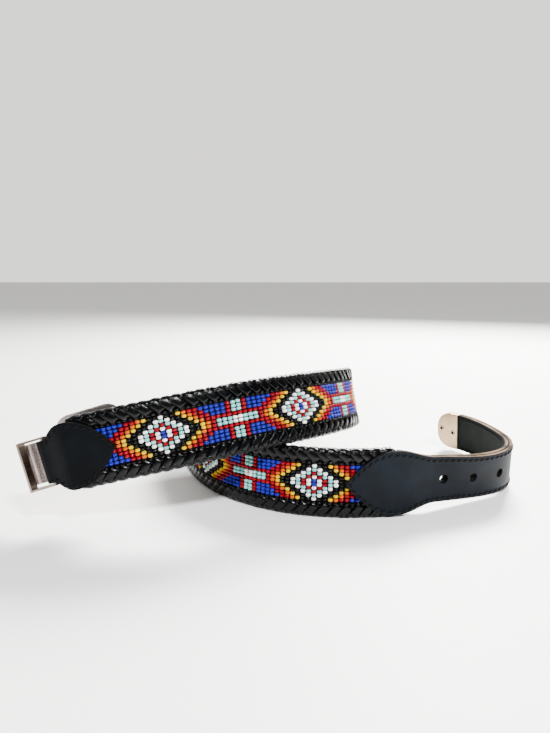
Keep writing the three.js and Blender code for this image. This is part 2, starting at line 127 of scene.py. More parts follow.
def ease(value, start, end):
    t = np.clip((value - start) / (end - start), 0, 1)
    return t * t * (3 - 2 * t)


# Levels through the belt's thickness and places along it
frontFace = belt["strap"] / 2
coverFace = frontFace + belt["gap"] + belt["panel"]
endHalf = belt["width"] / 2 - belt["margin"]
billetStart = belt["length"] - billetEnd["length"]
taperStart = billetStart + billetEnd["point"] + billetEnd["afterPoint"]
taperEnd = taperStart + billetEnd["taper"]
bodyStart = buckleEnd["taperTo"] + buckleEnd["inset"]
bodyEnd = taperStart
foldInner = buckleEnd["bar"] / 2 + belt["gap"]
foldCentre = foldInner + belt["leather"]
coverLift = coverFace + 2 * belt["gap"]
layersInner = -frontFace
layersJoint = layersInner + belt["lining"]
billetInner = layersJoint + belt["gap"]
capFrom = belt["length"] - billetEnd["cap"]
capInset = billetEnd["capWall"] + 1.5 * belt["gap"]

# The solids stand on the surface under the middle of their box, and the curve is moved the same way
strapStep = 7
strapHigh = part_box("body_strap")[1]
strapReach = bodyEnd - belt["gap"]
strapEnds = np.linspace(bodyStart, strapReach, 1 + round((strapReach - bodyStart) / strapStep))
strapHalf = belt["width"] / 2 - belt["lace"] - belt["gap"]
corners = [onBelt(strapEnds[1:], v, n) for v in (-strapHalf, strapHalf) for n in (-frontFace, frontFace)]
shift = np.array(strapHigh) / scale - np.vstack(corners).max(0)
print("course laid", plan, shift)


def addObject(name, data):
    obj = bpy.data.objects.new(name, data)
    bpy.context.scene.collection.objects.link(obj)
    return obj


def finishMesh(name, points, faces, materials, slots):
    mesh = bpy.data.meshes.new(name)
    mesh.from_pydata([tuple(p) for p in (np.asarray(points) + shift) * scale], [], faces)
    for material in materials:
        mesh.materials.append(material)
    mesh.polygons.foreach_set("material_index", slots)
    mesh.polygons.foreach_set("use_smooth", [True] * len(mesh.polygons))
    mesh.update()
    return addObject(name, mesh)


# Modifiers are turned into a plain mesh before the piece joins the frame
def settle(obj):
    graph = bpy.context.evaluated_depsgraph_get()
    source = obj.evaluated_get(graph)
    mesh = bpy.data.meshes.new_from_object(source, preserve_all_data_layers=True, depsgraph=graph)
    obj.modifiers.clear()
    obj.data = mesh
    mesh.name = obj.name
    return obj


def weighNormals(obj):
    obj.modifiers.new("normals", "WEIGHTED_NORMAL").keep_sharp = True
    settle(obj)


def turnOut(obj):
    mesh = obj.data
    points = np.array([v.co for v in mesh.vertices])
    mesh.calc_loop_triangles()
    corners = np.array([t.vertices for t in mesh.loop_triangles])
    a, b, c = (points[corners[:, k]] for k in range(3))
    if np.einsum("ij,ij->i", a, np.cross(b, c)).sum() < 0:
        mesh.flip_normals()
    return obj


# Steps round a strip's corner and across its face
stripSteps = {"corner": 3, "face": 4}


# Section of a strip with rounded corners, as places across and depths
def roundedSection(half, thickness, radius):
    r = min(radius, thickness / 2 - 0.01, half * 0.8)
    right, low, high = half - r, r, thickness - r
    points = []
    for across, depth, start in ((right, low, -90), (right, high, 0), (-right, high, 90), (-right, low, 180)):
        for k in range(stripSteps["corner"] + 1):
            a = math.radians(start + 90 * k / stripSteps["corner"])
            points.append((across + r * math.cos(a), depth + r * math.sin(a)))
        if start in (0, 180):
            level = points[-1][1]
            for k in range(1, stripSteps["face"]):
                points.append((across * (1 - 2 * k / stripSteps["face"]), level))
    return points


# Slots round the section: 0 on a face, 1 on a corner, 2 on the middle of an edge
def sectionSlots():
    corner = [1] * stripSteps["corner"]
    side = corner + [2] + corner + [0] * stripSteps["face"]
    return side + side


# Faces of a closed tube through rings of points, with its two ends
def tubeFaces(rings, size):
    faces = []
    for r in range(rings - 1):
        for k in range(size):
            a, b = r * size + k, r * size + (k + 1) % size
            faces.append((a, b, b + size, a + size))
    last = (rings - 1) * size
    return faces + [tuple(range(size))[::-1], tuple(range(last, last + size))]


# The materials are for the faces, for the corners, and for the edges' middles with the ends
def loftStrip(name, places, halves, thickness, radius, materials):
    rings = [place(np.array(roundedSection(h, thickness, radius))) for place, h in zip(places, halves)]
    faces = tubeFaces(len(rings), len(rings[0]))
    slots = sectionSlots() * (len(rings) - 1) + [2, 2]
    return turnOut(finishMesh(name, np.vstack(rings), faces, materials, slots))


def beltPlace(along, inner, side=1):
    return lambda section: onBelt(along, section[:, 0], side * (inner + section[:, 1]))


def foldPlace(angle):
    def place(section):
        radius = foldInner + section[:, 1]
        along = foldCentre - radius * math.sin(angle)
        return onBelt(along, section[:, 0], -radius * math.cos(angle))
    return place


# Materials
def newMaterial(name, colour, roughness, **inputs):
    material = bpy.data.materials.new(name)
    material.use_nodes = True
    shader = material.node_tree.nodes["Principled BSDF"]
    shader.inputs["Base Color"].default_value = (*colour, 1)
    shader.inputs["Roughness"].default_value = roughness
    for key, value in inputs.items():
        shader.inputs[key.replace("_", " ")].default_value = value
    return material


def addNode(material, kind, **values):
    node = material.node_tree.nodes.new(kind)
    for key, value in values.items():
        if key in node.inputs:
            node.inputs[key].default_value = value
        else:
            setattr(node, key, value)
    return node


def link(material, source, target):
    material.node_tree.links.new(source, target)


# What all grain shares: height of the bump, fine noise against cells, and the slow change of tone
grainShape = {"depth": 0.2, "fineness": 1.4, "toneScale": 70, "darkEnd": 0.3, "lightStart": 0.7}


# Grain as bump, with a slow change of tone between two tones and of roughness over a spread
def grained(name, colour, roughness, grain, bump, tones, spread=None, **inputs):
    material = newMaterial(name, colour, roughness, **inputs)
    shader = material.node_tree.nodes["Principled BSDF"]
    coords = addNode(material, "ShaderNodeTexCoord").outputs["Object"]
    perMetre = 1 / (grain * scale)
    cells = addNode(material, "ShaderNodeTexVoronoi", Scale=perMetre, feature="DISTANCE_TO_EDGE")
    fine = addNode(material, "ShaderNodeTexNoise", Scale=grainShape["fineness"] * perMetre, Detail=5)
    slow = addNode(material, "ShaderNodeTexNoise", Scale=grainShape["toneScale"], Detail=3)
    for texture in (cells, fine, slow):
        link(material, coords, texture.inputs["Vector"])
    blend = addNode(material, "ShaderNodeMath", operation="MULTIPLY_ADD")
    link(material, cells.outputs["Distance"], blend.inputs[0])
    link(material, fine.outputs[0], blend.inputs[2])
    relief = addNode(material, "ShaderNodeBump", Strength=bump, Distance=grainShape["depth"] * scale)
    link(material, blend.outputs[0], relief.inputs["Height"])
    link(material, relief.outputs[0], shader.inputs["Normal"])
    ramp = addNode(material, "ShaderNodeValToRGB")
    stops = ramp.color_ramp.elements
    stops[0].position = grainShape["darkEnd"]
    stops[1].position = grainShape["lightStart"]
    for stop, tone in zip(stops, tones):
        stop.color = (*tone, 1)
    link(material, slow.outputs[0], ramp.inputs[0])
    link(material, ramp.outputs[0], shader.inputs["Base Color"])
    if spread:
        rough = addNode(material, "ShaderNodeMapRange")
        rough.inputs["To Min"].default_value = spread[0]
        rough.inputs["To Max"].default_value = spread[1]
        link(material, fine.outputs[0], rough.inputs["Value"])
        link(material, rough.outputs[0], shader.inputs["Roughness"])
    return material


leather = grained(
    "leather", (0.005, 0.006, 0.009), 0.55, grain=0.55, bump=0.45, spread=(0.42, 0.66),
    tones=[(0.0008, 0.0018, 0.0034), (0.0026, 0.0052, 0.0092)], Specular_IOR_Level=0.11,
)
# Painted shade: a darker, smoother copy of the leather for the buckle chape, which lies turned away from the
# light
polished = grained(
    "polished", (0.002, 0.003, 0.004), 0.4, grain=0.55, bump=0.4, spread=(0.3, 0.46),
    tones=[(0.0004, 0.0008, 0.0013), (0.0012, 0.002, 0.0032)], Specular_IOR_Level=0.06,
)
lining = grained(
    "lining", (0.006, 0.008, 0.008), 0.7, grain=0.4, bump=0.6, spread=(0.6, 0.8),
    tones=[(0.0014, 0.0032, 0.0024), (0.0045, 0.008, 0.0065)], Specular_IOR_Level=0.09,
)
lace = grained(
    "lace", (0.002, 0.002, 0.002), 0.3, grain=0.5, bump=0.3, spread=(0.13, 0.28),
    tones=[(0.0004, 0.0005, 0.0007), (0.0014, 0.0016, 0.002)], Specular_IOR_Level=0.17,
)
thread = newMaterial("thread", (0.001, 0.001, 0.001), 0.7, Specular_IOR_Level=0.1)
ground = newMaterial("panelGround", (0.002, 0.002, 0.002), 0.9, Specular_IOR_Level=0.1)
blackEdge = grained(
    "blackEdge", (0.004, 0.004, 0.004), 0.75, grain=0.25, bump=0.6,
    tones=[(0.002, 0.002, 0.002), (0.009, 0.008, 0.008)], Specular_IOR_Level=0.03,
)
rawEdge = grained(
    "rawEdge", (0.2, 0.14, 0.1), 0.8, grain=0.3, bump=0.9,
    tones=[(0.03, 0.02, 0.013), (0.2, 0.14, 0.09)], Specular_IOR_Level=0.02,
)
# Painted shade: the rounded corners of the billet's edges are darker, so the seam where the two layers meet
# and the outer corners show as dark lines
burnished = grained(
    "burnished", (0.03, 0.022, 0.018), 0.7, grain=0.3, bump=0.8,
    tones=[(0.004, 0.003, 0.0025), (0.024, 0.017, 0.013)], Specular_IOR_Level=0.05,
)
capMetal = grained(
    "capMetal", (0.5, 0.4, 0.3), 0.34, grain=0.5, bump=0.08, spread=(0.2, 0.36),
    tones=[(0.27, 0.195, 0.115), (0.37, 0.275, 0.17)], Metallic=1.0,
)
# Painted shade: near black for the rivets' hollow centres
dimple = newMaterial("dimple", (0.012, 0.009, 0.007), 0.5, Specular_IOR_Level=0.1)
steel = grained(
    "steel", (0.5, 0.45, 0.41), 0.24, grain=0.5, bump=0.08, spread=(0.16, 0.32),
    tones=[(0.16, 0.12, 0.09), (0.36, 0.3, 0.25)], Metallic=1.0,
)
plateMetal = grained(
    "plateMetal", (0.6, 0.52, 0.5), 0.25, grain=0.5, bump=0.05, spread=(0.2, 0.34),
    tones=[(0.52, 0.44, 0.42), (0.66, 0.56, 0.53)], Metallic=0.95,
)

beadColours = {
    "K": ("black", (0.0015, 0.0015, 0.0017)), "W": ("white", (0.94, 0.94, 0.92)),
    "P": ("turquoise", (0.2, 0.52, 0.5)), "R": ("red", (0.2, 0.0, 0.006)),
    "B": ("blue", (0.011, 0.012, 0.24)), "O": ("orange", (0.46, 0.075, 0.0)),
    "Y": ("yellow", (0.6, 0.38, 0.0)),
}
beadGlaze = {"Specular_IOR_Level": 0.02, "Coat_Weight": 0.35, "Coat_Roughness": 0.05}


# Opaque glass whose tone differs a little from bead to bead
def beadMaterial(name, colour):
    material = newMaterial(name + "Glass", colour, 0.5, **beadGlaze)
    shader = material.node_tree.nodes["Principled BSDF"]
    tone = addNode(material, "ShaderNodeAttribute", attribute_name="tone")
    tint = addNode(material, "ShaderNodeHueSaturation", Color=(*colour, 1))
    link(material, tone.outputs["Fac"], tint.inputs["Value"])
    link(material, tint.outputs[0], shader.inputs["Base Color"])
    return material


# Node tree that sets a template on each point, turned and sized by the points' own values
def scatterTree():
    tree = bpy.data.node_groups.new("setOnPoints", "GeometryNodeTree")
    tree.interface.new_socket("Points", in_out="INPUT", socket_type="NodeSocketGeometry")
    tree.interface.new_socket("Template", in_out="INPUT", socket_type="NodeSocketObject")
    tree.interface.new_socket("Finish", in_out="INPUT", socket_type="NodeSocketMaterial")
    tree.interface.new_socket("Pieces", in_out="OUTPUT", socket_type="NodeSocketGeometry")
    nodes = {}
    for key, kind in {
        "start": "NodeGroupInput", "info": "GeometryNodeObjectInfo",
        "turn": "GeometryNodeInputNamedAttribute", "size": "GeometryNodeInputNamedAttribute",
        "euler": "FunctionNodeEulerToRotation",
        "set": "GeometryNodeInstanceOnPoints", "real": "GeometryNodeRealizeInstances",
        "finish": "GeometryNodeSetMaterial", "end": "NodeGroupOutput",
    }.items():
        nodes[key] = tree.nodes.new(kind)
    for key in ("turn", "size"):
        nodes[key].data_type = "FLOAT_VECTOR"
        nodes[key].inputs["Name"].default_value = key
    for source, output, target, entry in (
        ("start", "Points", "set", "Points"), ("start", "Template", "info", "Object"),
        ("info", "Geometry", "set", "Instance"), ("turn", "Attribute", "euler", "Euler"),
        ("euler", "Rotation", "set", "Rotation"), ("size", "Attribute", "set", "Scale"),
        ("set", "Instances", "real", "Geometry"), ("real", "Geometry", "finish", "Geometry"),
        ("start", "Finish", "finish", "Material"), ("finish", "Geometry", "end", "Pieces"),
    ):
        tree.links.new(nodes[source].outputs[output], nodes[target].inputs[entry])
    return tree


scatter = scatterTree()


def setOnPoints(name, template, points, bases, sizes, material, tones=None):
    mesh = bpy.data.meshes.new(name)
    mesh.from_pydata([tuple(p) for p in (points + shift) * scale], [], [])
    turns = [Matrix(b).to_euler() for b in bases]
    fields = [("turn", turns, "FLOAT_VECTOR", "vector"), ("size", sizes, "FLOAT_VECTOR", "vector")]
    if tones is not None:
        fields.append(("tone", tones, "FLOAT", "value"))
    for key, values, kind, field in fields:
        mesh.attributes.new(key, kind, "POINT").data.foreach_set(field, np.array(values, float).ravel())
    obj = addObject(name, mesh)
    modifier = obj.modifiers.new("setOnPoints", "NODES")
    modifier.node_group = scatter
    sockets = {s.name: s.identifier for s in scatter.interface.items_tree if s.in_out == "INPUT"}
    modifier[sockets["Template"]] = template
    modifier[sockets["Finish"]] = material
    return settle(obj)


def templateFrom(name, points, faces):
    mesh = bpy.data.meshes.new(name)
    mesh.from_pydata([tuple(np.asarray(p) * scale) for p in points], [], faces)
    mesh.polygons.foreach_set("use_smooth", [True] * len(mesh.polygons))
    return turnOut(addObject(name, mesh))


def dropTemplate(obj):
    bpy.data.objects.remove(obj, do_unlink=True)


# Seed beads: the repeat charted, one string for each column from the middle of a lozenge outwards
chart = [
    "WPRWBBWRPW", "KWPRWWRPWK", "KKWPRRPWKK", "YKKWPPWKKY", "OYKKWWKKYO", "ROYKKKKYOR", "RROYKKYORR",
    "BRROYYORRB", "BBRROORRBB", "BBBRRRRBBB", "BBBRPPRBBB", "BBBRPPRBBB", "RRRRPPRRRR", "PPPRWWRPPP",
]
beads = {
    "rows": 10, "across": 2.2, "level": 2.15, "size": (0.93, 0.88, 0.97), "repeat": 27, "repeats": 6,
    "before": 8.3, "after": 5.85, "columnsUnderChape": 13, "columnsUnderBillet": 10,
    "wander": (0.09, 0.055, 0.05), "tilt": 0.05, "sizeSpread": 0.03, "toneSpread": 0.07,
}
span = billetStart - buckleEnd["length"]
beadPitch = span / (beads["repeats"] * beads["repeat"] + beads["before"] + beads["after"])
firstMiddle = buckleEnd["length"] + beads["before"] * beadPitch

# One bead round its thread: its section as distances out and places along, turned in a number of sides
beadShape = {
    "sides": 12, "stretch": 1.07,
    "loop": [
        (0.42, -0.66), (0.78, -0.97), (1.14, -0.9), (1.42, -0.56), (1.53, 0.0),
        (1.42, 0.56), (1.14, 0.9), (0.78, 0.97), (0.42, 0.66),
    ],
}


def beadTemplate():
    sides = beadShape["sides"]
    points = []
    for k in range(sides):
        a = 2 * math.pi * k / sides
        for r, h in beadShape["loop"]:
            points.append((r * math.cos(a), h * beadShape["stretch"], r * math.sin(a)))
    n = len(beadShape["loop"])
    faces = []
    for k in range(sides):
        for j in range(n):
            a, b = k * n + j, k * n + (j + 1) % n
            c = ((k + 1) % sides) * n
            faces.append((a, b, c + (j + 1) % n, c + j))
    return templateFrom("beadTemplate", points, faces)


def beadwork():
    template = beadTemplate()
    placed = {key: [] for key in beadColours}
    lastColumn = beads["repeats"] * beads["repeat"] + beads["columnsUnderBillet"]
    for column in range(-beads["columnsUnderChape"], lastColumn + 1):
        along = firstMiddle + column * beadPitch
        distance = abs((column + beads["repeat"] / 2) % beads["repeat"] - beads["repeat"] / 2)
        colours = "K" + chart[int(min(distance, beads["repeat"] - distance))] + "K"
        for row, key in enumerate(colours):
            placed[key].append((along, ((beads["rows"] + 1) / 2 - row) * beads["across"]))
    for key, (name, colour) in beadColours.items():
        spots = np.array(placed[key])
        count = len(spots)
        wander = rng.normal(0, 1, (count, 3)) * beads["wander"]
        points = onBelt(spots[:, 0] + wander[:, 0], spots[:, 1] + wander[:, 1], beads["level"] + wander[:, 2])
        tilts = rng.normal(0, beads["tilt"], (count, 3))
        turns = [Matrix.Rotation(t[0], 3, "Z") @ Matrix.Rotation(t[1], 3, "X") for t in tilts]
        bases = [b @ np.array(t) for b, t in zip(basesAt(spots[:, 0]), turns)]
        sizes = beads["size"] + rng.normal(0, beads["sizeSpread"], (count, 3))
        tones = np.clip(1 + rng.normal(0, beads["toneSpread"], count), 0.8, 1.2)
        obj = setOnPoints("beads_" + name, template, points, bases, sizes, beadMaterial(name, colour), tones)
        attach(obj, "belt")
    dropTemplate(template)
    print("beads", sum(len(spots) for spots in placed.values()), "pitch", beadPitch)


# The dark bed that the beads are sewn on, with a stretch under each leather end
bed = {"underChape": 13, "underBillet": 10, "thick": 0.7, "round": 0.2, "steps": 260}


def panelGround():
    start = buckleEnd["length"] - bed["underChape"]
    along = np.linspace(start, billetStart + bed["underBillet"], bed["steps"])
    places = [beltPlace(s, frontFace + belt["gap"]) for s in along]
    halves = [belt["panelWidth"] / 2] * len(along)
    obj = loftStrip("bead_ground", places, halves, bed["thick"], bed["round"], [ground] * 3)
    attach(obj, "belt")
    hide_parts("beaded_panel")


# A lace or thread along a short path, with a flat rounded section. A row is a place and the way it faces.
def ribbon(path, wide, thick, sides=8):
    path = np.array(path, float)
    t = np.linspace(0, len(path) - 1, 4 * len(path) - 3)
    centre = np.stack([np.interp(t, range(len(path)), path[:, k]) for k in range(6)], 1)
    for _ in range(3):
        centre[1:-1] = (centre[:-2] + 2 * centre[1:-1] + centre[2:]) / 4
    tangent = unit(np.gradient(centre[:, :3], axis=0))
    up = unit(centre[:, 3:])
    across = unit(np.cross(up, tangent))
    up = np.cross(tangent, across)
    points = []
    for i in range(len(centre)):
        for k in range(sides):
            a = 2 * math.pi * k / sides
            flat = math.copysign(abs(math.cos(a)) ** 0.7, math.cos(a)) * wide / 2
            points.append(centre[i, :3] + across[i] * flat + up[i] * math.sin(a) * thick / 2)
    return points, tubeFaces(len(centre), sides)


def joined(parts):
    points, faces = [], []
    for p, f in parts:
        faces += [tuple(i + len(points) for i in face) for face in f]
        points += list(p)
    return points, faces


# Edge lacing: slanted laces on both faces and a plait of crossed loops over the edge
lacing = {
    "pitch": 2 * beadPitch, "wide": 5.3, "thick": 0.85, "slant": 2.6, "tilt": 0.16, "inward": 0.5,
    "frontLift": 0.25, "backLift": 0.1,
    "loop": 3.1, "loopWide": 2.5, "loopThick": 0.95, "upperLift": 0.35, "lowerLift": 0.05,
    "firstAt": 1.5, "endSpace": 8, "wander": (0.12, 0.06, 0.06), "twist": 0.02, "sizeSpread": 0.03,
}


def laceTemplate(side):
    edge = belt["width"] / 2
    root = edge - (belt["width"] - belt["panelWidth"]) / 2 + lacing["inward"]
    front = coverFace + belt["gap"] + lacing["frontLift"]
    back = -frontFace - belt["gap"] - belt["lace"] - lacing["backLift"]
    middle = (front + back) / 2
    slant = lacing["slant"]
    parts = []
    # Rows: places along, across and out, then the way that the lace faces there
    for level, way in ((front, 1), (back, -1)):
        face = (lacing["tilt"], 0, way)
        path = [
            (slant + 0.4, root - 0.9, level - way * 1.0, *face),
            (slant, root, level, *face),
            (slant * 0.45, root + 1.7, level + way * 0.22, *face),
            (-slant * 0.4, edge - 2.4, level + way * 0.22, *face),
            (-slant * 0.8, edge - 0.9, level - way * 0.1, 0, 0.5, way),
            (-slant, edge - 0.1, level - way * 1.0, 0, 1, way * 0.4),
            (-slant, edge + 0.05, middle, 0, 1, 0),
        ]
        parts.append(ribbon(path, lacing["wide"], lacing["thick"]))
    for way, lift in ((1, lacing["upperLift"]), (-1, lacing["lowerLift"])):
        reach = way * lacing["loop"]
        path = [
            (-reach, edge - 2.3, front + 0.15, 0, 0, 1),
            (-reach * 0.8, edge - 1.0, front + 0.25 + lift * 0.4, 0, 0.5, 1),
            (-reach * 0.4, edge + 0.15 + lift * 0.4, front - 1.0, 0, 1, 0.4),
            (0, edge + 0.3 + lift, middle, 0, 1, 0),
            (reach * 0.4, edge + 0.15 + lift * 0.4, back + 1.0, 0, 1, -0.4),
            (reach * 0.8, edge - 1.0, back - 0.25 - lift * 0.4, 0, 0.5, -1),
            (reach, edge - 2.3, back - 0.15, 0, 0, -1),
        ]
        parts.append(ribbon(path, lacing["loopWide"], lacing["loopThick"]))
    points, faces = joined(parts)
    return templateFrom("laceTemplate", [(x, side * y, z) for x, y, z in points], faces)


def edgeLacing(name, side):
    template = laceTemplate(side)
    count = 1 + int((bodyEnd - bodyStart - lacing["endSpace"]) / lacing["pitch"])
    along = bodyStart + lacing["firstAt"] + lacing["pitch"] * (np.arange(count) + 0.5)
    wander = rng.normal(0, 1, (count, 3)) * lacing["wander"]
    points = onBelt(along + wander[:, 0], wander[:, 1], wander[:, 2])
    turns = rng.normal(0, lacing["twist"], count)
    bases = [b @ np.array(Matrix.Rotation(t, 3, "Z")) for b, t in zip(basesAt(along), turns)]
    sizes = np.stack([1 + rng.normal(0, lacing["sizeSpread"], count), np.ones(count), np.ones(count)], 1)
    obj = setOnPoints(name, template, points, bases, sizes, lace)
    dropTemplate(template)
    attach(obj, "belt")
    print(name, count, "stitches", len(obj.data.polygons), "faces")


# Leather ends: how a point is cut, and the steps and rounding of each layer
pointCut = {"tip": 0.35, "fullness": 0.85, "steps": 26}
chapeLayer = {"tailSteps": 22, "foldSteps": 16, "frontSteps": 24, "round": 0.45, "past": 0.4}
billetLayer = {"steps": 130, "capSteps": 16, "round": 0.4, "backRound": 0.35, "blackUpTo": 12, "short": 0.3}
strapLayer = {"steps": 280, "round": 0.3}


def pointedHalf(distance, reach, full):
    share = np.clip(distance / reach, 0, 1)
    return pointCut["tip"] + (full - pointCut["tip"]) * np.sin(share * math.pi / 2) ** pointCut["fullness"]


# Shares of a point's length, close together at its tip
def pointLengths():
    return 1 - np.cos(np.linspace(0, math.pi / 2, pointCut["steps"]))


def chapeHalf(s):
    reach = buckleEnd["taperTo"] - buckleEnd["taperFrom"]
    share = np.clip((s - buckleEnd["taperFrom"]) / reach, 0, 1)
    taper = belt["chape"] / 2 + (endHalf - belt["chape"] / 2) * np.sin(share * math.pi / 2)
    inPoint = s > buckleEnd["length"] - buckleEnd["point"]
    return np.where(inPoint, pointedHalf(buckleEnd["length"] - s, buckleEnd["point"], endHalf), taper)


def chapeLevel(s):
    return foldInner + (coverLift + belt["lace"] - foldInner) * ease(s, foldCentre, bodyStart - 2)


def buckleChape():
    tailHalf = belt["panelWidth"] / 2 - belt["gap"]
    foldEnd = foldCentre + chapeLayer["past"]
    tail = np.linspace(buckleEnd["tail"], foldEnd, chapeLayer["tailSteps"])
    places = [beltPlace(s, foldInner, -1) for s in tail]
    halves = [min(chapeHalf(s), tailHalf) for s in tail]
    for k in range(chapeLayer["foldSteps"] + 1):
        places.append(foldPlace(math.pi * k / chapeLayer["foldSteps"]))
        halves.append(belt["chape"] / 2)
    straight = np.linspace(foldEnd, buckleEnd["length"] - buckleEnd["point"], chapeLayer["frontSteps"])[:-1]
    front = np.concatenate([straight, buckleEnd["length"] - buckleEnd["point"] * pointLengths()[::-1]])
    places += [beltPlace(s, chapeLevel(s)) for s in front]
    halves += [float(chapeHalf(s)) for s in front]
    # The chape's faces take the leather's darker copy, which is painted shade
    materials = [polished, blackEdge, blackEdge]
    obj = loftStrip("chape_leather", places, halves, belt["leather"], chapeLayer["round"], materials)
    weighNormals(obj)
    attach(obj, "belt")
    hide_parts("buckle_chape")


# Half the width of a tip whose two corners are round
def tipHalf(s, end, half, corner):
    left = end - s
    rounded = np.sqrt(np.clip(corner**2 - (corner - left) ** 2, 0, None))
    return np.where(left >= corner, half, half - corner + rounded)


def billetHalf(s):
    taper = endHalf + (belt["billet"] / 2 - endHalf) * ease(s, taperStart, taperEnd)
    inPoint = s < billetStart + billetEnd["point"]
    half = np.where(inPoint, pointedHalf(s - billetStart, billetEnd["point"], endHalf), taper)
    corner = billetEnd["capCorner"] - capInset
    tip = tipHalf(s, belt["length"] - capInset, belt["billet"] / 2 - capInset, corner)
    return np.where(s >= capFrom, tip, half)


def billetLevel(s):
    return billetInner + (coverLift - billetInner) * (1 - ease(s, taperStart + 2, taperEnd))


def punch(obj, diameter, sides=40, depth=30):
    cutters = []
    for k in range(billetEnd["holes"]):
        s = billetStart + billetEnd["firstHole"] + k * billetEnd["holePitch"]
        bpy.ops.mesh.primitive_cylinder_add(vertices=sides, radius=diameter / 2 * scale, depth=depth * scale)
        cutter = bpy.context.object
        place = Vector((framesAt(s)[0][0] + shift) * scale)
        cutter.matrix_world = Matrix.Translation(place) @ Matrix(basesAt(s)[0]).to_4x4()
        cutter.data.materials.append(blackEdge)
        modifier = obj.modifiers.new("punch", "BOOLEAN")
        modifier.object = cutter
        modifier.material_mode = "TRANSFER"
        cutters.append(cutter)
    bpy.context.view_layer.update()
    settle(obj)
    for cutter in cutters:
        bpy.data.objects.remove(cutter, do_unlink=True)
    return obj


# The edge is raw leather only along the narrow part, and black round the point
def blackenPoint(obj, along):
    sides = len(sectionSlots())
    for k, face in enumerate(obj.data.polygons):
        station = along[min(k // sides, len(along) - 1)]
        if face.material_index and station < taperEnd - billetLayer["blackUpTo"]:
            face.material_index = 3


def billetLayers():
    toCap = capFrom - billetLayer["short"]
    shares = np.linspace(1, 0.04, billetLayer["capSteps"]) ** 1.5
    under = belt["length"] - capInset - (billetEnd["cap"] - capInset) * shares
    pointed = billetStart + billetEnd["point"] * pointLengths()
    rest = np.linspace(billetStart + billetEnd["point"], toCap, billetLayer["steps"])[1:]
    along = np.concatenate([pointed, rest, under])
    places = [beltPlace(s, billetLevel(s)) for s in along]
    halves = [float(billetHalf(s)) for s in along]
    # The edge corners take the painted shade
    materials = [leather, burnished, rawEdge, blackEdge]
    obj = loftStrip("billet_leather", places, halves, belt["leather"], billetLayer["round"], materials)
    blackenPoint(obj, along)
    weighNormals(punch(obj, billetEnd["hole"]))
    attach(obj, "belt")
    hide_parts("billet")
    back = np.concatenate([np.linspace(bodyEnd + belt["gap"], toCap, billetLayer["steps"]), under])
    places = [beltPlace(s, layersInner) for s in back]
    halves = [float(billetHalf(s)) for s in back]
    # The back layer's edge corners take the same painted shade
    materials = [lining, burnished, rawEdge]
    layer = loftStrip("billet_back", places, halves, belt["lining"], billetLayer["backRound"], materials)
    weighNormals(punch(layer, billetEnd["backHole"]))
    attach(layer, "belt")
    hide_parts("billet_lining")


def strapBack():
    along = np.linspace(bodyStart, strapReach, strapLayer["steps"])
    places = [beltPlace(s, -frontFace) for s in along]
    halves = [strapHalf] * len(along)
    materials = [lining, blackEdge, blackEdge]
    obj = loftStrip("strap_leather", places, halves, belt["strap"], strapLayer["round"], materials)
    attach(obj, "belt")
    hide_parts("body_strap")


# Stitches a little inside the leather's edge, spaced evenly round each outline
stitching = {
    "pitch": 4.2, "inset": 2.3, "long": 2.5, "thick": 1.2, "slant": 0.35, "sunk": 0.35, "raised": 0.1,
    "shoulder": 0.75, "shoulderRaised": 0.02, "sides": 6, "fineSteps": 900, "leastHalf": 0.15, "look": 0.8,
    "fromPoint": 2.2, "fromEnd": 2,
}


# Places and bases of the stitches round a pointed end, with its point at its start (way 1) or end (way -1)
def stitchRun(halfOf, start, end, levelOf, way):
    fine = np.linspace(start, end, stitching["fineSteps"])[::way]
    halves = np.array([float(halfOf(s)) for s in fine]) - stitching["inset"]
    keep = halves > stitching["leastHalf"]
    upper = np.stack([fine, halves], 1)[keep]
    lower = np.stack([fine, -halves], 1)[keep]
    path = np.vstack([lower[::-1], upper])
    gone = np.concatenate([[0], np.cumsum(np.linalg.norm(np.diff(path, axis=0), axis=1))])
    count = round(gone[-1] / stitching["pitch"])
    spots = (np.arange(count) + 0.5) * gone[-1] / count
    at = lambda d: np.stack([np.interp(d, gone, path[:, 0]), np.interp(d, gone, path[:, 1])], 1)
    here, ahead, behind = at(spots), at(spots + stitching["look"]), at(spots - stitching["look"])
    angles = np.arctan2(ahead[:, 1] - behind[:, 1], ahead[:, 0] - behind[:, 0]) + stitching["slant"]
    levels = np.array([float(levelOf(s)) for s in here[:, 0]])
    points = onBelt(here[:, 0], here[:, 1], levels)
    bases = [b @ np.array(Matrix.Rotation(a, 3, "Z")) for b, a in zip(basesAt(here[:, 0]), angles)]
    return points, bases


def stitches():
    half = stitching["long"] / 2
    shoulder = half * stitching["shoulder"]
    low, middle = -stitching["sunk"], stitching["shoulderRaised"]
    up = (0, 0, 1)
    path = [
        (-half, 0, low, *up), (-shoulder, 0, middle, *up), (0, 0, stitching["raised"], *up),
        (shoulder, 0, middle, *up), (half, 0, low, *up),
    ]
    thick = stitching["thick"]
    template = templateFrom("stitchTemplate", *ribbon(path, thick, thick, stitching["sides"]))
    top = belt["leather"]
    fromPoint, fromEnd = stitching["fromPoint"], stitching["fromEnd"]
    chapeEnd = buckleEnd["length"] - fromPoint
    runs = [
        stitchRun(chapeHalf, foldCentre + fromEnd, chapeEnd, lambda s: chapeLevel(s) + top, -1),
        stitchRun(billetHalf, billetStart + fromPoint, capFrom - fromEnd, lambda s: billetLevel(s) + top, 1),
        stitchRun(billetHalf, bodyEnd + fromEnd, capFrom - fromEnd, lambda s: layersInner, 1),
    ]
    points = np.vstack([r[0] for r in runs])
    bases = [b for r in runs for b in r[1]]
    obj = setOnPoints("stitches", template, points, bases, np.ones((len(points), 3)), thread)
    dropTemplate(template)
    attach(obj, "belt")
    print("stitches", len(points))


# Tip cap, hollow for the two layers of the billet
capShape = {
    "straightSteps": 12, "cornerSteps": 16, "cornerTurn": 88, "round": 0.6, "innerRound": 0.3,
    "past": 2, "endWall": 3,
}


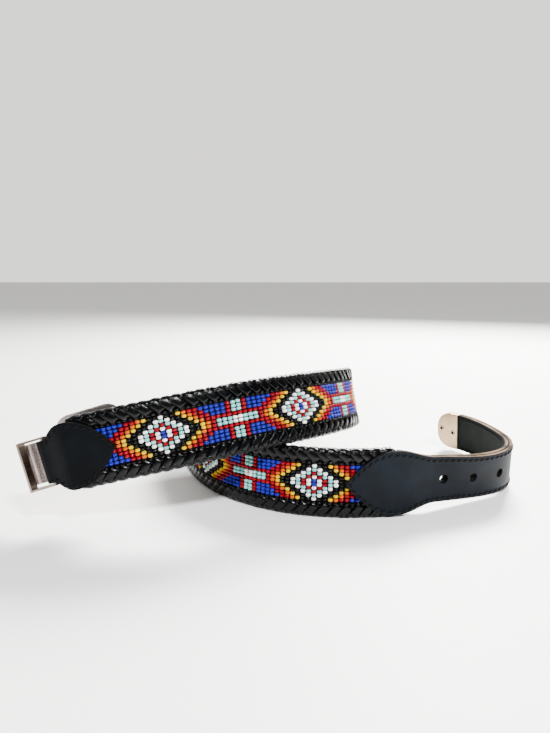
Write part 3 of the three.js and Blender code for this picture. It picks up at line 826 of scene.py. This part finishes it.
def tipCap():
    wall = billetEnd["capWall"]
    low = layersInner - belt["gap"] - wall
    high = billetInner + belt["leather"] + belt["gap"] + wall
    corner = billetEnd["capCorner"]
    turns = np.radians(np.linspace(0, capShape["cornerTurn"], capShape["cornerSteps"]))
    cornerFrom = belt["length"] - corner
    straight = np.linspace(capFrom, cornerFrom, capShape["straightSteps"])[:-1]
    along = np.concatenate([straight, cornerFrom + corner * np.sin(turns)])
    halves = [float(tipHalf(s, belt["length"], belt["billet"] / 2, corner)) for s in along]
    places = [beltPlace(s, low) for s in along]
    obj = loftStrip("tip_metal", places, halves, high - low, capShape["round"], [capMetal] * 3)
    innerEnd = belt["length"] - capShape["endWall"]
    inner = np.linspace(capFrom - capShape["past"], innerEnd, capShape["straightSteps"])
    halves = [belt["billet"] / 2 - wall] * len(inner)
    places = [beltPlace(s, low + wall) for s in inner]
    depth = high - low - 2 * wall
    hollow = loftStrip("hollow", places, halves, depth, capShape["innerRound"], [capMetal] * 3)
    modifier = obj.modifiers.new("hollow", "BOOLEAN")
    modifier.object = hollow
    bpy.context.view_layer.update()
    weighNormals(settle(obj))
    bpy.data.objects.remove(hollow, do_unlink=True)
    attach(obj, "belt")
    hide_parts("tip_cap")
    return low, high


# Rivet heads with a dimple painted dark as shade in their hollow centre: distances out and heights over the
# cap's face
rivetShape = {
    "sides": 24, "dimple": 1.45, "foot": -0.3, "across": 1,
    "profile": [
        (0.0, 0.32), (0.9, 0.34), (1.15, 0.5), (1.3, 0.75),
        (1.45, 0.7), (1.6, 0.5), (1.75, 0.1), (1.75, -0.3),
    ],
}


def rivetTemplate():
    sides = rivetShape["sides"]
    profile = rivetShape["profile"]
    points = [(0, 0, profile[0][1])]
    for r, h in profile[1:]:
        angles = [2 * math.pi * k / sides for k in range(sides)]
        points += [(r * math.cos(a), r * math.sin(a), h) for a in angles]
    points.append((0, 0, rivetShape["foot"]))
    faces = [(0, 1 + k, 1 + (k + 1) % sides) for k in range(sides)]
    for ring in range(len(profile) - 2):
        a, b = 1 + ring * sides, 1 + (ring + 1) * sides
        faces += [(a + k, b + k, b + (k + 1) % sides, a + (k + 1) % sides) for k in range(sides)]
    a = 1 + (len(profile) - 2) * sides
    faces += [(a + (k + 1) % sides, a + k, len(points) - 1) for k in range(sides)]
    return templateFrom("rivetTemplate", points, faces)


def rivets(low, high):
    template = rivetTemplate()
    for number, side in ((1, 1), (2, -1)):
        s = belt["length"] - billetEnd["rivetBack"] - (number - 1) * billetEnd["rivetPitch"]
        across = side * rivetShape["across"]
        spots = np.array([onBelt(s, across, low), onBelt(s, across, high)])
        basis = basesAt(s)[0]
        flip = basis @ np.diag([1.0, -1.0, -1.0])
        obj = setOnPoints("rivet_%d" % number, template, spots, [flip, basis], np.ones((2, 3)), capMetal)
        obj.data.materials.clear()
        obj.data.materials.append(capMetal)
        obj.data.materials.append(dimple)
        centres = (spots + shift) * scale
        away = [np.linalg.norm(np.array(v.co) - centres, axis=1).min() for v in obj.data.vertices]
        # Faces within the dimple's reach take the painted shade
        for face in obj.data.polygons:
            rim = max(away[v] for v in face.vertices)
            face.material_index = 1 if rim < rivetShape["dimple"] * scale else 0
        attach(obj, "belt")
        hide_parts("tip_rivet_%d" % number)
    dropTemplate(template)


# The bail and the plate keep the solids' form, with softened edges. Angles are in degrees.
softening = {"weld": 0.01, "flat": 2, "edge": 40, "segments": 3}


def softened(node, name, body, material, width):
    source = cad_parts[node]
    obj = addObject(name, source.data.copy())
    obj.data.transform(source.matrix_world)
    obj.data.materials.clear()
    obj.data.materials.append(material)
    weld = obj.modifiers.new("weld", "WELD")
    weld.merge_threshold = softening["weld"] * scale
    flat = obj.modifiers.new("flat", "DECIMATE")
    flat.decimate_type = "DISSOLVE"
    flat.angle_limit = math.radians(softening["flat"])
    bevel = obj.modifiers.new("bevel", "BEVEL")
    bevel.width = width * scale
    bevel.segments = softening["segments"]
    bevel.limit_method = "ANGLE"
    bevel.angle_limit = math.radians(softening["edge"])
    settle(obj)
    obj.data.polygons.foreach_set("use_smooth", [True] * len(obj.data.polygons))
    weighNormals(obj)
    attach(obj, body)
    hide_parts(node)


beadwork()
panelGround()
edgeLacing("upper_lace", 1)
edgeLacing("lower_lace", -1)
buckleChape()
billetLayers()
strapBack()
stitches()
capLow, capHigh = tipCap()
rivets(capLow, capHigh)
softened("buckle_bail", "bail_metal", "bail", steel, 0.2)
softened("buckle_plate", "plate_metal", "plate", plateMetal, 0.35)
for node in ("upper_lacing", "lower_lacing"):
    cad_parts[node].data.materials.clear()
    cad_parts[node].data.materials.append(lace)
print("pieces made")

# Surface, lights and camera. Lights stand in metres, and the wall's light comes from behind the belt.
room = {
    "floor": 60, "floorColour": (0.86, 0.86, 0.85), "wallColour": (0.84, 0.83, 0.8, 1), "aim": (0, 0, 0.03),
}
wall = {"From Min": -0.3, "From Max": 0.7, "To Min": 0.035, "To Max": 1.85}
window = {"place": (0.45, 0.95, 0.85), "size": (0.5, 0.4), "power": 135, "colour": (1.0, 0.98, 0.95)}
frontLamp = {"place": (0.3, -0.75, 0.85), "size": (0.15, 0.13), "power": 30, "colour": (0.98, 0.98, 1.0)}


def surface():
    bpy.ops.mesh.primitive_plane_add(size=room["floor"], location=(0, 0, 0))
    floor = bpy.context.object
    floor.name = "floor"
    floor.data.materials.append(newMaterial("floorFinish", room["floorColour"], 0.55))


def softLight(name, lamp):
    data = bpy.data.lights.new(name, "AREA")
    data.shape = "RECTANGLE"
    data.size, data.size_y = lamp["size"]
    data.energy = lamp["power"]
    data.color = lamp["colour"]
    obj = addObject(name, data)
    obj.location = lamp["place"]
    toAim = Vector(room["aim"]) - Vector(lamp["place"])
    obj.rotation_euler = toAim.to_track_quat("-Z", "Y").to_euler()


# The wall is bright behind the belt and dim in front of it, but looks alike to the camera from every side
def wallLight():
    world = bpy.data.worlds.new("room")
    world.use_nodes = True
    nodes, links = world.node_tree.nodes, world.node_tree.links
    coords = nodes.new("ShaderNodeTexCoord")
    split = nodes.new("ShaderNodeSeparateXYZ")
    spread = nodes.new("ShaderNodeMapRange")
    spread.interpolation_type = "SMOOTHSTEP"
    for key, value in wall.items():
        spread.inputs[key].default_value = value
    links.new(coords.outputs["Generated"], split.inputs[0])
    links.new(split.outputs["Y"], spread.inputs["Value"])
    back = nodes["Background"]
    back.inputs["Color"].default_value = room["wallColour"]
    seen = nodes.new("ShaderNodeMix")
    seen.inputs["B"].default_value = wall["To Max"]
    links.new(nodes.new("ShaderNodeLightPath").outputs["Is Camera Ray"], seen.inputs["Factor"])
    links.new(spread.outputs[0], seen.inputs["A"])
    links.new(seen.outputs["Result"], back.inputs["Strength"])
    bpy.context.scene.world = world


# The camera's place on the belt's plan, its height, its pitch in degrees and its focal length in pixels
view = {"right": 0, "back": -325, "height": 139, "pitch": 8.7, "focal": 568, "imageWidth": 550, "sensor": 36}


def camera():
    data = bpy.data.cameras.new("camera")
    data.sensor_fit = "HORIZONTAL"
    data.sensor_width = view["sensor"]
    data.lens = view["sensor"] * view["focal"] / view["imageWidth"]
    data.clip_start = 0.01
    obj = addObject("camera", data)
    obj.location = (np.array([view["right"], view["back"], view["height"]]) + shift) * scale
    obj.rotation_euler = (math.radians(90 - view["pitch"]), 0, 0)
    bpy.context.scene.camera = obj


surface()
softLight("window", window)
softLight("front", frontLamp)
wallLight()
camera()
print("room lit")
